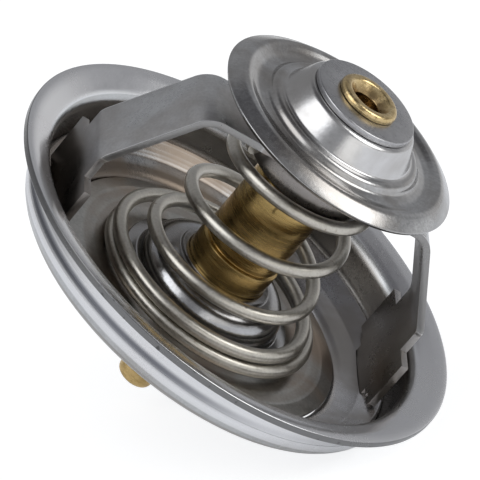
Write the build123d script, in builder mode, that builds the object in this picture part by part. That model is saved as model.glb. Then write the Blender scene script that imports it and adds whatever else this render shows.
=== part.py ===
from build123d import *
import os
from math import cos, pi, radians, sin

# Two-plate engine thermostat insert. The origin is at the middle of the clamping lip, level with its
# upper face. +Z points to the engine side, where the bypass disc is, and the straps lie along X.
# All sizes are in millimetres.

# Clamping lip and dish
lip_radius = 33.5
lip_width = 5.0
lip_flat_width = 1.3
lip_drop = 1.4
dish_depth = 8.3
dish_sheet = 1.0
lip_edge_bend = 0.8
lip_bend = 1.6
dish_bend = 3.0
dish_floor_width = 2.1

# Seat ring, pressed into the dish
ring_rim_gap = 1.0
ring_rim_width = 2.6
ring_rim_level = -6.1
band_width = 3.75
band_outer_level = -7.9
throat_level = -9.1
throat_length = 1.9
ring_sheet = 0.9
ring_bend = 1.2
seat_bend = 2.2

# Upper bridge over the main spring
strap_width = 10.6
strap_sheet = 1.0
strap_top = 18.0
strap_top_half = 17.3
leg_offset = 0.7
knee_level = 5.0
strap_bend = 4.0
neck_width = 10.0
neck_top = 4.2
foot_width = 17.0
foot_top = 1.2
foot_bottom = -6.3
heel_width = 12.4
heel_bottom = -6.75
tab_width = 9.6
tab_end = -9.4
tab_clearance = 0.06
cup_clearance = 0.14
cup_depth = 3.4
cup_bend = 1.2
cup_hole_radius = 6.3

# Main valve plate
seat_overlap = 0.15
plate_cone_width = 2.0
plate_cone_drop = 0.35
plate_bend = 1.0
plate_rise = 0.35
plate_sheet = 0.8
plate_hole_radius = 6.1

# Wax element
case_radius = 5.6
case_foot_radius = 5.9
case_step_level = 0.2
case_top = 13.0
case_flange_radius = 8.4
case_flange_height = 1.6
case_bore_radius = 4.4
case_end_wall = 2.4
case_rim_round = 0.6
groove_depth = 0.35
groove_width = 0.5

# Steel cap over the element's flange
cap_radius = 10.9
cap_flange_radius = 12.8
cap_top = -3.8
cap_sheet = 0.9
cap_bend = 3.4
cap_flange_bend = 0.5
cap_collar_bend = 0.3
cap_collar_height = 0.6

# Piston, its boot and its guide
pin_radius = 1.5
pin_top = 6.6
pin_bottom = -22.5
running_clearance = 0.05
press_clearance = 0.02
boot_wall = 1.1
boot_end_wall = 0.7
boot_end_gap = 0.4
boot_flange_height = 1.3
backup_thickness = 0.6
guide_head_height = 1.4
guide_radius = 6.0
guide_length = 2.6
guide_cone_height = 0.8
nose_radius = 3.6
nose_length = 2.8
clip_thickness = 0.75
clip_radius = 8.0
clip_groove_depth = 0.7
clip_gap = 2.4

# Lower bridge and the pin's seat
crown_level = -18.1
crown_half = 7.6
lower_sheet = 1.0
lower_width = 8.0
lower_leg_inset = 3.0
lower_knee_level = -11.2
pad_length = 1.7
pad_clearance = 0.02
pad_bend = 0.3
lower_knee_bend = 0.5
crown_bend = 1.0
seat_pin_radius = 2.55
seat_pin_tip = -25.0
seat_pin_neck_radius = 1.9
seat_pin_collar_radius = 3.0
seat_pin_collar_height = 1.0
seat_pin_edge = 0.9

# Main spring: a closed base, a step in to the waist and a slow taper to the strap
wire_diameter = 1.92
closed_gap = 0.02
spring_base_radius = 15.2
spring_waist_radius = 12.0
spring_top_radius = 9.8
spring_turns = 5.14
first_turn_angle = 150.0
wire_sides = 10
base_turns = 1.2
waist_turn = 1.85
taper_end_turn = 4.25
open_from = 1.2
fully_open_from = 3.0
closing_from = 4.1
closed_from = 4.45

# Bypass valve
disc_radius = 17.6
disc_edge_level = 22.1
disc_crest_radius = 15.3
disc_crest_level = 23.5
disc_valley_radius = 13.5
disc_valley_level = 22.65
disc_step_foot_radius = 11.7
disc_step_foot_level = 22.85
disc_step_radius = 11.2
disc_step_level = 23.9
hub_base_radius = 9.9
hub_top_radius = 8.1
hub_top = 27.3
disc_sheet = 0.7
crest_bend = 1.5
valley_bend = 2.5
step_foot_bend = 0.9
step_bend = 1.0
hub_base_bend = 0.6
hub_top_bend = 1.0
stem_radius = 2.6
stem_collar_radius = 3.4
stem_collar_height = 1.0
stem_socket_radius = 2.2
washer_radius = 7.5
washer_thickness = 0.85
washer_edge_round = 0.2
rivet_radius = 4.3
rivet_height = 0.95
rivet_mouth_radius = 3.1
rivet_flare_depth = 1.3
rivet_hole_radius = 1.9
rivet_hole_depth = 3.2
bush_wall = 0.9
bush_length = 3.2
relief_spring_wire = 0.8
relief_spring_radius = 4.3
relief_spring_turns = 5.0
relief_seat_radius = 5.3
relief_seat_thickness = 0.8

# Values that follow from the ones above
wall_radius = lip_radius - lip_width
dish_opening = wall_radius - dish_floor_width
ring_rim_radius = wall_radius - ring_rim_gap
band_outer_radius = ring_rim_radius - ring_rim_width
throat_radius = band_outer_radius - band_width
plate_radius = throat_radius + seat_overlap
leg_reach = band_outer_radius + leg_offset
lower_leg_reach = leg_reach - lower_leg_inset
cup_radius = spring_top_radius - wire_diameter / 2 - cup_clearance
closed_pitch = wire_diameter + closed_gap
band_slope = (band_outer_level - throat_level) / (band_outer_radius - throat_radius)
band_underside = band_outer_level - ring_sheet * (1 + band_slope**2) ** 0.5
plate_top = throat_level + plate_rise
plate_underside = plate_top - plate_sheet
cap_hole_radius = case_foot_radius + running_clearance
strap_underside = strap_top - strap_sheet
guide_shoulder = plate_top - guide_length
nose_end = guide_shoulder - nose_length
backup_level = plate_top + guide_head_height + press_clearance
boot_level = backup_level + backup_thickness + press_clearance
boot_radius = pin_radius + running_clearance + boot_wall
boot_top = pin_top + boot_end_gap + boot_end_wall
case_cavity_top = case_top - case_end_wall
bore_fit_radius = case_bore_radius - press_clearance
crown_underside = crown_level - lower_sheet
relief_seat_level = case_top + stem_collar_height
relief_spring_low = relief_seat_level + relief_seat_thickness
hub_underside = hub_top - disc_sheet
stem_shoulder = hub_top + running_clearance
bush_radius = stem_radius + running_clearance

os.makedirs("parts", exist_ok=True)


def save(piece, name):
    piece.label = name
    export_step(piece, "parts/" + name + ".step")


def pressed_ring(points, bends, sheet, side):
    """A pressed sheet turned about Z: one face of the sheet, its bends and its gauge."""
    with BuildPart() as ring:
        with BuildSketch(Plane.XZ):
            with BuildLine() as face_line:
                FilletPolyline(*points, radius=bends)
                offset(amount=sheet, side=side)
            make_face()
        revolve(axis=Axis.Z)
    return ring.part


def turned(points):
    """A turned piece, from the closed outline of its half section."""
    with BuildPart() as piece:
        with BuildSketch(Plane.XZ):
            with BuildLine():
                Polyline(*points, close=True)
            make_face()
        revolve(axis=Axis.Z)
    return piece.part


def washer(inner, outer, low, high):
    return turned([(inner, low), (outer, low), (outer, high), (inner, high)])


def flange_dish():
    # a lip that dips towards its wall, and a floor that is cut away round the seat ring
    points = [
        (lip_radius, 0),
        (lip_radius - lip_flat_width, 0),
        (wall_radius, -lip_drop),
        (wall_radius, -dish_depth),
        (wall_radius - dish_bend - dish_sheet, -dish_depth),
    ]
    with BuildPart() as dish:
        add(pressed_ring(points, [lip_edge_bend, lip_bend, dish_bend], dish_sheet, Side.LEFT))
        with BuildSketch(Plane.XY.offset(-dish_depth)):
            Circle(dish_opening)
        extrude(amount=2 * dish_sheet, both=True, mode=Mode.SUBTRACT)
    return dish.part


def seat_ring():
    # a coned rim, a sloping band and a throat that is turned down, where the valve plate seats
    points = [
        (ring_rim_radius, ring_rim_level),
        (band_outer_radius, band_outer_level),
        (throat_radius, throat_level),
        (throat_radius, throat_level - throat_length),
    ]
    slot_length = tab_width + 2 * tab_clearance
    slot_width = strap_sheet + 2 * tab_clearance
    with BuildPart() as ring:
        add(pressed_ring(points, [ring_bend, seat_bend], ring_sheet, Side.LEFT))
        with BuildSketch(Plane.XY.offset(band_outer_level)):
            with Locations((leg_reach - strap_sheet / 2, 0), (strap_sheet / 2 - leg_reach, 0)):
                Rectangle(slot_width, slot_length)
        extrude(amount=4 * ring_sheet, both=True, mode=Mode.SUBTRACT)
    return ring.part


def upper_bridge():
    strip = [
        (-leg_reach, tab_end),
        (-leg_reach, knee_level),
        (-strap_top_half, strap_top),
        (strap_top_half, strap_top),
        (leg_reach, knee_level),
        (leg_reach, tab_end),
    ]
    # half of the blank's outline, seen along X
    blank = [
        (0, strap_top + strap_sheet),
        (strap_width / 2, strap_top + strap_sheet),
        (strap_width / 2, knee_level),
        (neck_width / 2, neck_top),
        (neck_width / 2, foot_top),
        (foot_width / 2, foot_top),
        (foot_width / 2, foot_bottom),
        (heel_width / 2, foot_bottom),
        (heel_width / 2, heel_bottom),
        (tab_width / 2, heel_bottom),
        (tab_width / 2, tab_end),
        (0, tab_end),
    ]
    cup = [
        (cup_hole_radius, strap_top),
        (cup_radius, strap_top),
        (cup_radius, strap_top - cup_depth),
    ]
    with BuildPart() as bridge:
        with BuildSketch(Plane.XZ):
            with BuildLine():
                FilletPolyline(*strip, radius=strap_bend)
                offset(amount=strap_sheet, side=Side.RIGHT)
            make_face()
        extrude(amount=foot_width, both=True)
        with BuildSketch(Plane.YZ):
            with BuildLine():
                Polyline(*blank)
                mirror(about=Plane.YZ)
            make_face()
        extrude(amount=2 * leg_reach, both=True, mode=Mode.INTERSECT)
        with BuildSketch(Plane.XY.offset(strap_top)):
            Circle(cup_hole_radius + strap_sheet)
        extrude(amount=-2 * strap_sheet, mode=Mode.SUBTRACT)
        add(pressed_ring(cup, [cup_bend], strap_sheet, Side.RIGHT))
    return bridge.part


def lower_bridge():
    # the pads lie against the underside of the seat ring's band
    pad_reach = lower_leg_reach + pad_length
    pad_end_level = band_underside - band_slope * (band_outer_radius - pad_reach) - pad_clearance
    pad_root_level = pad_end_level - band_slope * pad_length
    strip = [
        (-pad_reach, pad_end_level),
        (-lower_leg_reach, pad_root_level),
        (-lower_leg_reach, lower_knee_level),
        (-crown_half, crown_level),
        (crown_half, crown_level),
        (lower_leg_reach, lower_knee_level),
        (lower_leg_reach, pad_root_level),
        (pad_reach, pad_end_level),
    ]
    bends = [pad_bend, lower_knee_bend, crown_bend, crown_bend, lower_knee_bend, pad_bend]
    with BuildPart() as bridge:
        with BuildSketch(Plane.XZ):
            with BuildLine():
                FilletPolyline(*strip, radius=bends)
                offset(amount=lower_sheet, side=Side.RIGHT)
            make_face()
        extrude(amount=lower_width / 2, both=True)
        with BuildSketch(Plane.XY.offset(crown_level)):
            Circle(seat_pin_neck_radius)
        extrude(amount=-2 * lower_sheet, mode=Mode.SUBTRACT)
    return bridge.part


def pin_seat():
    bore = pin_radius + press_clearance
    with BuildPart() as seat:
        with BuildSketch(Plane.XZ):
            with BuildLine():
                Polyline(
                    (0, seat_pin_tip),
                    (seat_pin_radius, seat_pin_tip),
                    (seat_pin_radius, crown_underside),
                    (seat_pin_neck_radius, crown_underside),
                    (seat_pin_neck_radius, crown_level),
                    (seat_pin_collar_radius, crown_level),
                    (seat_pin_collar_radius, crown_level + seat_pin_collar_height),
                    (bore, crown_level + seat_pin_collar_height),
                    (bore, pin_bottom),
                    (0, pin_bottom),
                    close=True,
                )
            make_face()
        revolve(axis=Axis.Z)
        fillet(seat.edges().group_by(Axis.Z)[0], seat_pin_edge)
    return seat.part


def piston_pin():
    with BuildPart() as pin:
        with BuildSketch(Plane.XY.offset(pin_bottom)):
            Circle(pin_radius)
        extrude(amount=pin_top - pin_bottom)
        fillet(pin.edges().group_by(Axis.Z)[-1], pin_radius / 3)
        chamfer(pin.edges().group_by(Axis.Z)[0], pin_radius / 6)
    return pin.part


def valve_plate():
    points = [
        (plate_hole_radius, plate_top),
        (plate_radius - plate_cone_width, plate_top),
        (plate_radius, plate_top - plate_cone_drop),
    ]
    return pressed_ring(points, [plate_bend], plate_sheet, Side.RIGHT)


def guide_cap():
    flange_top = plate_top + cap_sheet
    collar_radius = cap_hole_radius + cap_sheet
    points = [
        (cap_flange_radius, flange_top),
        (cap_radius, flange_top),
        (cap_radius, cap_top),
        (collar_radius, cap_top),
        (collar_radius, cap_top + cap_collar_height),
    ]
    return pressed_ring(points, [cap_flange_bend, cap_bend, cap_collar_bend], cap_sheet, Side.LEFT)


def element_case():
    flange_top = plate_top + case_flange_height
    groove_low = case_step_level
    groove_high = case_step_level + groove_width
    groove_radius = case_radius - groove_depth
    with BuildPart() as case:
        with BuildSketch(Plane.XZ):
            with BuildLine():
                Polyline(
                    (case_bore_radius, plate_top),
                    (case_flange_radius, plate_top),
                    (case_flange_radius, flange_top),
                    (case_foot_radius, flange_top),
                    (case_foot_radius, groove_low),
                    (groove_radius, groove_low + groove_width / 2),
                    (case_radius, groove_high),
                    (case_radius, case_top),
                    (stem_socket_radius, case_top),
                    (stem_socket_radius, case_cavity_top),
                    (case_bore_radius, case_cavity_top),
                    close=True,
                )
            make_face()
        revolve(axis=Axis.Z)
        outer_rim = case.edges().filter_by(GeomType.CIRCLE).group_by(Axis.Z)[-1].sort_by(SortBy.RADIUS)[-1]
        fillet(outer_rim, case_rim_round)
    return case.part


def wax_charge():
    low = boot_level + boot_flange_height + press_clearance
    inner = boot_radius + press_clearance
    top = case_cavity_top - press_clearance
    over_boot = boot_top + press_clearance
    return turned(
        [(inner, low), (bore_fit_radius, low), (bore_fit_radius, top), (0, top), (0, over_boot), (inner, over_boot)]
    )


def rubber_boot():
    bore = pin_radius + running_clearance
    flange_top = boot_level + boot_flange_height
    bore_top = boot_top - boot_end_wall
    return turned(
        [
            (bore, boot_level),
            (bore_fit_radius, boot_level),
            (bore_fit_radius, flange_top),
            (boot_radius, flange_top),
            (boot_radius, boot_top),
            (0, boot_top),
            (0, bore_top),
            (bore, bore_top),
        ]
    )


def backup_washer():
    return washer(pin_radius + running_clearance, bore_fit_radius, backup_level, backup_level + backup_thickness)


def piston_guide():
    bore = pin_radius + running_clearance
    groove_top = plate_underside - press_clearance
    groove_low = groove_top - clip_thickness - 2 * press_clearance
    groove_radius = guide_radius - clip_groove_depth
    return turned(
        [
            (bore, plate_top + guide_head_height),
            (bore_fit_radius, plate_top + guide_head_height),
            (bore_fit_radius, plate_top),
            (guide_radius, plate_top),
            (guide_radius, groove_top),
            (groove_radius, groove_top),
            (groove_radius, groove_low),
            (guide_radius, groove_low),
            (guide_radius, guide_shoulder),
            (nose_radius, guide_shoulder - guide_cone_height),
            (nose_radius, nose_end),
            (bore, nose_end),
        ]
    )


def retaining_ring():
    high = plate_underside - 2 * press_clearance
    inner = guide_radius - clip_groove_depth + press_clearance
    with BuildPart() as ring:
        add(washer(inner, clip_radius, high - clip_thickness, high))
        with BuildSketch(Plane.XY.offset(high)):
            with Locations((0, clip_radius)):
                Rectangle(clip_gap, 2 * clip_radius)
        extrude(amount=-2 * clip_thickness, mode=Mode.SUBTRACT)
    return ring.part


def ramp(turn, low, high):
    """0 before low, 1 after high and a smooth rise between."""
    share = min(1.0, max(0.0, (turn - low) / (high - low)))
    return share * share * (3 - 2 * share)


def opening(turn):
    return ramp(turn, open_from, fully_open_from) * (1 - ramp(turn, closing_from, closed_from))


def coil(centre_at, wire, start, end, steps_per_turn=16):
    """A wire swept along a coil whose centre line is centre_at(turn). Its section is many-sided, to stay light."""
    count = round((end - start) * steps_per_turn)
    centres = [centre_at(start + (end - start) * step / count) for step in range(count + 1)]
    with BuildPart() as spring:
        with BuildLine() as route:
            Spline(*centres)
        with BuildSketch(Plane(origin=route.line @ 0, z_dir=route.line % 0)):
            RegularPolygon(radius=wire / 2, side_count=wire_sides)
        sweep(is_frenet=True)
    return spring.part


def main_spring():
    low = plate_top + wire_diameter / 2 + press_clearance
    high = strap_underside - wire_diameter / 2 - press_clearance
    fine = 400
    step_turns = spring_turns / fine
    turns = [step_turns * step for step in range(fine + 1)]
    open_turns = sum(opening(turn) for turn in turns) * step_turns
    open_rise = (high - low - closed_pitch * spring_turns) / open_turns
    step_in = spring_waist_radius - spring_base_radius
    taper = spring_top_radius - spring_waist_radius

    def centre_at(turn):
        passed = sum(opening(t) for t in turns if t <= turn) * step_turns
        level = low + closed_pitch * turn + open_rise * passed
        tapered = min(1.0, max(0.0, (turn - waist_turn) / (taper_end_turn - waist_turn)))
        radius = spring_base_radius + step_in * ramp(turn, base_turns, waist_turn) + taper * tapered
        angle = radians(first_turn_angle + 360 * turn)
        return (radius * cos(angle), radius * sin(angle), level)

    return coil(centre_at, wire_diameter, 0, spring_turns)


def bypass_stem():
    rivet_low = stem_shoulder + washer_thickness
    rivet_top = rivet_low + rivet_height
    with BuildPart() as stem:
        with BuildSketch(Plane.XZ):
            with BuildLine():
                Polyline(
                    (0, case_cavity_top),
                    (stem_socket_radius - press_clearance, case_cavity_top),
                    (stem_socket_radius - press_clearance, case_top),
                    (stem_collar_radius, case_top),
                    (stem_collar_radius, relief_seat_level),
                    (stem_radius, relief_seat_level),
                    (stem_radius, rivet_low),
                    (rivet_radius, rivet_low),
                    (rivet_radius, rivet_top),
                    (rivet_mouth_radius, rivet_top),
                    (rivet_hole_radius, rivet_top - rivet_flare_depth),
                    (rivet_hole_radius, rivet_top - rivet_hole_depth),
                    (0, rivet_top - rivet_hole_depth - rivet_hole_radius / 2),
                    close=True,
                )
            make_face()
        revolve(axis=Axis.Z)
        rims = stem.edges().filter_by(GeomType.CIRCLE).group_by(Axis.Z)[-1]
        fillet(rims, rivet_height * 0.45)
    return stem.part


def bypass_disc():
    # from the turned-down rim over the crest, the valley and the step up to the hub
    points = [
        (disc_radius, disc_edge_level),
        (disc_crest_radius, disc_crest_level),
        (disc_valley_radius, disc_valley_level),
        (disc_step_foot_radius, disc_step_foot_level),
        (disc_step_radius, disc_step_level),
        (hub_base_radius, disc_step_level),
        (hub_top_radius, hub_top),
        (bush_radius + bush_wall, hub_top),
    ]
    bends = [crest_bend, valley_bend, step_foot_bend, step_bend, hub_base_bend, hub_top_bend]
    return pressed_ring(points, bends, disc_sheet, Side.LEFT)


def stem_bush():
    low = hub_top - bush_length
    outer = bush_radius + bush_wall - press_clearance
    return washer(bush_radius, outer, low, hub_top)


def end_washer():
    inner = stem_radius + press_clearance
    low = stem_shoulder
    with BuildPart() as plain:
        add(washer(inner, washer_radius, low, low + washer_thickness - press_clearance))
        top_edge = plain.edges().filter_by(GeomType.CIRCLE).group_by(Axis.Z)[-1].sort_by(SortBy.RADIUS)[-1]
        fillet(top_edge, washer_edge_round)
    return plain.part


def spring_seat():
    low = relief_seat_level
    return washer(bush_radius, relief_seat_radius, low + press_clearance, low + relief_seat_thickness)


def bypass_spring():
    low = relief_spring_low + relief_spring_wire / 2 + press_clearance
    high = hub_underside - relief_spring_wire / 2 - press_clearance

    def centre_at(turn):
        level = low + (high - low) * turn / relief_spring_turns
        angle = 2 * pi * turn
        return (relief_spring_radius * cos(angle), relief_spring_radius * sin(angle), level)

    return coil(centre_at, relief_spring_wire, 0, relief_spring_turns, steps_per_turn=12)


pieces = [
    flange_dish,
    seat_ring,
    upper_bridge,
    lower_bridge,
    pin_seat,
    piston_pin,
    valve_plate,
    guide_cap,
    element_case,
    wax_charge,
    rubber_boot,
    backup_washer,
    piston_guide,
    retaining_ring,
    main_spring,
    bypass_stem,
    bypass_disc,
    stem_bush,
    end_washer,
    spring_seat,
    bypass_spring,
]
for make_piece in pieces:
    save(make_piece(), make_piece.__name__)
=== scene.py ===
import math

import bmesh
import bpy
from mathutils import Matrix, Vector


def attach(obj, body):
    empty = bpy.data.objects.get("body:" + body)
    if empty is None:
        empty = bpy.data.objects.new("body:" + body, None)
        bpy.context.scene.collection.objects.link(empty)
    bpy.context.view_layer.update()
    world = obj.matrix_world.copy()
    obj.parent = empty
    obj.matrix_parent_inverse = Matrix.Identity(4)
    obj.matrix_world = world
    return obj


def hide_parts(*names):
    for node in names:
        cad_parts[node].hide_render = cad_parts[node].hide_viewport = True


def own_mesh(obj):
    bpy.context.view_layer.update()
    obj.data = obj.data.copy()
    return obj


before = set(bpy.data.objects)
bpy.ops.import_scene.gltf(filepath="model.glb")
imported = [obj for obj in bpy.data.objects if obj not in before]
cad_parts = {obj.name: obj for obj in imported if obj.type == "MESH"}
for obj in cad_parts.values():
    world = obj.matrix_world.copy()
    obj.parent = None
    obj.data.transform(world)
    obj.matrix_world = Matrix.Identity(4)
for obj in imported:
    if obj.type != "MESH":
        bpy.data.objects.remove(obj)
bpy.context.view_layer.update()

mm = 0.001
scene = bpy.context.scene
print("frame loaded,", len(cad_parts), "nodes")


# nodes that the finishes and the springs share

def feed(tree, socket, value):
    # a number or a colour is set, another node's output is linked
    if isinstance(value, (int, float)):
        socket.default_value = value
    elif isinstance(value, (tuple, list)):
        socket.default_value = (*value, 1.0)
    else:
        tree.links.new(value, socket)


def mathNode(tree, operation, *values, clamp=False):
    node = tree.nodes.new("ShaderNodeMath")
    node.operation = operation
    node.use_clamp = clamp
    for slot, value in enumerate(values):
        feed(tree, node.inputs[slot], value)
    return node.outputs[0]


def product(tree, first, second):
    return mathNode(tree, "MULTIPLY", first, second)


def vectorNode(tree, operation, first, second=None):
    node = tree.nodes.new("ShaderNodeVectorMath")
    node.operation = operation
    tree.links.new(first, node.inputs[0])
    if second is not None:
        node.inputs[1].default_value = second
    return node.outputs


def reachFromAxis(tree, place):
    flat = vectorNode(tree, "MULTIPLY", place, (1.0, 1.0, 0.0))[0]
    return vectorNode(tree, "LENGTH", flat)["Value"]


def splitPlace(tree, place):
    split = tree.nodes.new("ShaderNodeSeparateXYZ")
    tree.links.new(place, split.inputs[0])
    return split.outputs


def joinPlace(tree, *values):
    join = tree.nodes.new("ShaderNodeCombineXYZ")
    for slot, value in enumerate(values):
        feed(tree, join.inputs[slot], value)
    return join.outputs[0]


def noiseNode(tree, vector, scale, detail, roughness, distortion=0.0):
    node = tree.nodes.new("ShaderNodeTexNoise")
    tree.links.new(vector, node.inputs["Vector"])
    given = {"Scale": scale, "Detail": detail, "Roughness": roughness, "Distortion": distortion}
    for label, value in given.items():
        feed(tree, node.inputs[label], value)
    return node.outputs["Fac"]


def rangeNode(tree, value, fromMin, fromMax, toMin=0.0, toMax=1.0, smooth=True):
    node = tree.nodes.new("ShaderNodeMapRange")
    node.interpolation_type = "SMOOTHSTEP" if smooth else "LINEAR"
    given = {"Value": value, "From Min": fromMin, "From Max": fromMax, "To Min": toMin, "To Max": toMax}
    for label, number in given.items():
        feed(tree, node.inputs[label], number)
    return node.outputs["Result"]


colourSlots = {"first": 6, "second": 7, "result": 2}


def mixColours(tree, share, first, second):
    node = tree.nodes.new("ShaderNodeMix")
    node.data_type = "RGBA"
    feed(tree, node.inputs["Factor"], share)
    feed(tree, node.inputs[colourSlots["first"]], first)
    feed(tree, node.inputs[colourSlots["second"]], second)
    return node.outputs[colourSlots["result"]]


def shaded(colour, share):
    return tuple(share * value for value in colour)


# node groups, each from a place and some numbers to some numbers

def newGroup(name, numbers, results):
    tree = bpy.data.node_groups.new(name, "ShaderNodeTree")
    face = tree.interface
    face.new_socket(name="Vector", in_out="INPUT", socket_type="NodeSocketVector")
    for label, value in numbers.items():
        face.new_socket(name=label, in_out="INPUT", socket_type="NodeSocketFloat").default_value = value
    for label in results:
        face.new_socket(name=label, in_out="OUTPUT", socket_type="NodeSocketFloat")
    return tree, tree.nodes.new("NodeGroupInput").outputs, tree.nodes.new("NodeGroupOutput").inputs


grainSetup = {
    "inputs": {"Size": 3500.0, "Coarse Size": 700.0},
    "fine": (4.0, 0.6), "coarse": (3.0, 0.5), "fineShare": 0.6, "coarseShare": 0.4, "mask": (0.36, 0.64),
}


def buildSheetGrain(setup):
    # fine orange-peel of rolled sheet: a height and a mask for gloss
    tree, given, out = newGroup("sheetGrain", setup["inputs"], ["Height", "Mask"])
    fine = noiseNode(tree, given["Vector"], given["Size"], *setup["fine"])
    coarse = noiseNode(tree, given["Vector"], given["Coarse Size"], *setup["coarse"])
    coarse = product(tree, coarse, setup["coarseShare"])
    height = mathNode(tree, "MULTIPLY_ADD", fine, setup["fineShare"], coarse)
    tree.links.new(height, out["Height"])
    tree.links.new(rangeNode(tree, height, *setup["mask"]), out["Mask"])
    return tree


blotchSetup = {
    "inputs": {"Size": 90.0, "Speck Size": 900.0, "Speck Share": 0.30},
    "broad": (4.0, 0.55, 0.4), "patches": (0.40, 0.66), "specks": (2.0, 0.5), "speckEdge": 0.06,
}


def buildBlotches(setup):
    # handling marks and tarnish that spread over some centimetres, and small dark specks
    tree, given, out = newGroup("blotches", setup["inputs"], ["Patches", "Specks"])
    broad = noiseNode(tree, given["Vector"], given["Size"], *setup["broad"])
    specks = noiseNode(tree, given["Vector"], given["Speck Size"], *setup["specks"])
    edge = mathNode(tree, "ADD", given["Speck Share"], setup["speckEdge"])
    tree.links.new(rangeNode(tree, broad, *setup["patches"]), out["Patches"])
    tree.links.new(rangeNode(tree, specks, given["Speck Share"], edge, 1.0, 0.0), out["Specks"])
    return tree


lineSetup = {
    "inputs": {"Lines": 1600.0},
    "wander": (60.0, 2.0, 0.5), "wanderReach": 0.0006, "lines": (3.0, 0.6),
}


def buildTurnedLines(setup):
    # tool and draw lines that run round the axis, from the distance to it and the height
    tree, given, out = newGroup("turnedLines", setup["inputs"], ["Height"])
    x, y, z = splitPlace(tree, given["Vector"])
    radius = mathNode(tree, "SQRT", mathNode(tree, "MULTIPLY_ADD", x, x, product(tree, y, y)))
    wander = noiseNode(tree, given["Vector"], *setup["wander"])
    place = joinPlace(tree, radius, z, product(tree, wander, setup["wanderReach"]))
    tree.links.new(noiseNode(tree, place, given["Lines"], *setup["lines"]), out["Height"])
    return tree


sheetGrain = buildSheetGrain(grainSetup)
blotches = buildBlotches(blotchSetup)
turnedLines = buildTurnedLines(lineSetup)


def groupNode(tree, group, vector, values):
    node = tree.nodes.new("ShaderNodeGroup")
    node.node_tree = group
    tree.links.new(vector, node.inputs["Vector"])
    for label, value in values.items():
        node.inputs[label].default_value = value
    return node.outputs


def stretched(tree, vector, stretch):
    mapping = tree.nodes.new("ShaderNodeMapping")
    mapping.inputs["Scale"].default_value = stretch
    tree.links.new(vector, mapping.inputs["Vector"])
    return mapping.outputs[0]


def startMaterial(name):
    material = bpy.data.materials.new(name)
    material.use_nodes = True
    tree = material.node_tree
    shader = tree.nodes["Principled BSDF"]
    place = tree.nodes.new("ShaderNodeTexCoord").outputs["Object"]
    return material, tree, shader.inputs, place


def bumpFrom(tree, shader, height, strength, distance):
    bump = tree.nodes.new("ShaderNodeBump")
    bump.inputs["Strength"].default_value = strength
    bump.inputs["Distance"].default_value = distance
    tree.links.new(height, bump.inputs["Height"])
    tree.links.new(bump.outputs["Normal"], shader["Normal"])


# finishes; sizes on the surface are in metres

sheetFinishes = {
    "dishSteel": {
        "light": (0.54, 0.55, 0.555), "dark": (0.45, 0.46, 0.465), "tarnish": (0.36, 0.33, 0.30),
        "tarnishShare": 0.35, "gloss": (0.20, 0.29), "bump": 0.025, "lines": 0.20, "grainSize": 3200.0,
        "streaks": 0.25, "streakSize": 420.0,
    },
    "strapSteel": {
        "light": (0.61, 0.615, 0.62), "dark": (0.51, 0.515, 0.52), "tarnish": (0.30, 0.255, 0.22),
        "tarnishShare": 0.40, "gloss": (0.26, 0.36), "bump": 0.035, "lines": 0.0, "grainSize": 2600.0,
        "streaks": 0.0, "streakSize": 1.0,
    },
    "plateSteel": {
        "light": (0.48, 0.47, 0.445), "dark": (0.37, 0.365, 0.345), "tarnish": (0.37, 0.285, 0.215),
        "tarnishShare": 0.85, "gloss": (0.28, 0.40), "bump": 0.04, "lines": 0.12, "grainSize": 2600.0,
        "streaks": 0.35, "streakSize": 300.0,
    },
    "ringSteel": {
        "light": (0.30, 0.30, 0.30), "dark": (0.21, 0.21, 0.21), "tarnish": (0.19, 0.15, 0.115),
        "tarnishShare": 0.8, "gloss": (0.24, 0.36), "bump": 0.03, "lines": 0.25, "grainSize": 3000.0,
        "streaks": 0.85, "streakSize": 520.0,
    },
    "polishedSteel": {
        "light": (0.52, 0.52, 0.52), "dark": (0.42, 0.42, 0.42), "tarnish": (0.26, 0.235, 0.21),
        "tarnishShare": 0.7, "gloss": (0.17, 0.27), "bump": 0.04, "lines": 0.1, "grainSize": 2200.0,
        "streaks": 0.12, "streakSize": 380.0,
    },
    "capSteel": {
        "light": (0.46, 0.465, 0.475), "dark": (0.36, 0.365, 0.375), "tarnish": (0.25, 0.225, 0.20),
        "tarnishShare": 0.5, "gloss": (0.14, 0.26), "bump": 0.06, "lines": 0.1, "grainSize": 2000.0,
        "streaks": 0.3, "streakSize": 420.0,
    },
    "washerSteel": {
        "light": (0.48, 0.48, 0.49), "dark": (0.38, 0.38, 0.39), "tarnish": (0.25, 0.24, 0.23),
        "tarnishShare": 0.2, "gloss": (0.24, 0.34), "bump": 0.05, "lines": 0.1, "grainSize": 2600.0,
        "streaks": 0.0, "streakSize": 1.0,
    },
    "pinSteel": {
        "light": (0.68, 0.69, 0.71), "dark": (0.62, 0.63, 0.65), "tarnish": (0.5, 0.5, 0.5),
        "tarnishShare": 0.1, "gloss": (0.10, 0.18), "bump": 0.05, "lines": 0.3, "grainSize": 3000.0,
        "streaks": 0.0, "streakSize": 1.0,
    },
}

strapPaintedLight = {
    "foot": (0.012, 0.022), "footHeight": (-0.001, 0.006), "cup": (0.009, 0.013), "footShadeShare": 0.75,
    "footShadeTone": (0.18, 0.153, 0.132), "pastCup": (0.0088, 0.0094), "aboveFoot": (0.003, 0.006),
    "arrisHighlight": (0.00515, 0.00520), "arrisHighlightTone": (0.82, 0.82, 0.82), "cutFaceShade": (0.00527, 0.00529),
    "cutFaceShadeShare": 0.8, "cutFaceShadeTone": (0.16, 0.155, 0.15),
}


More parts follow.
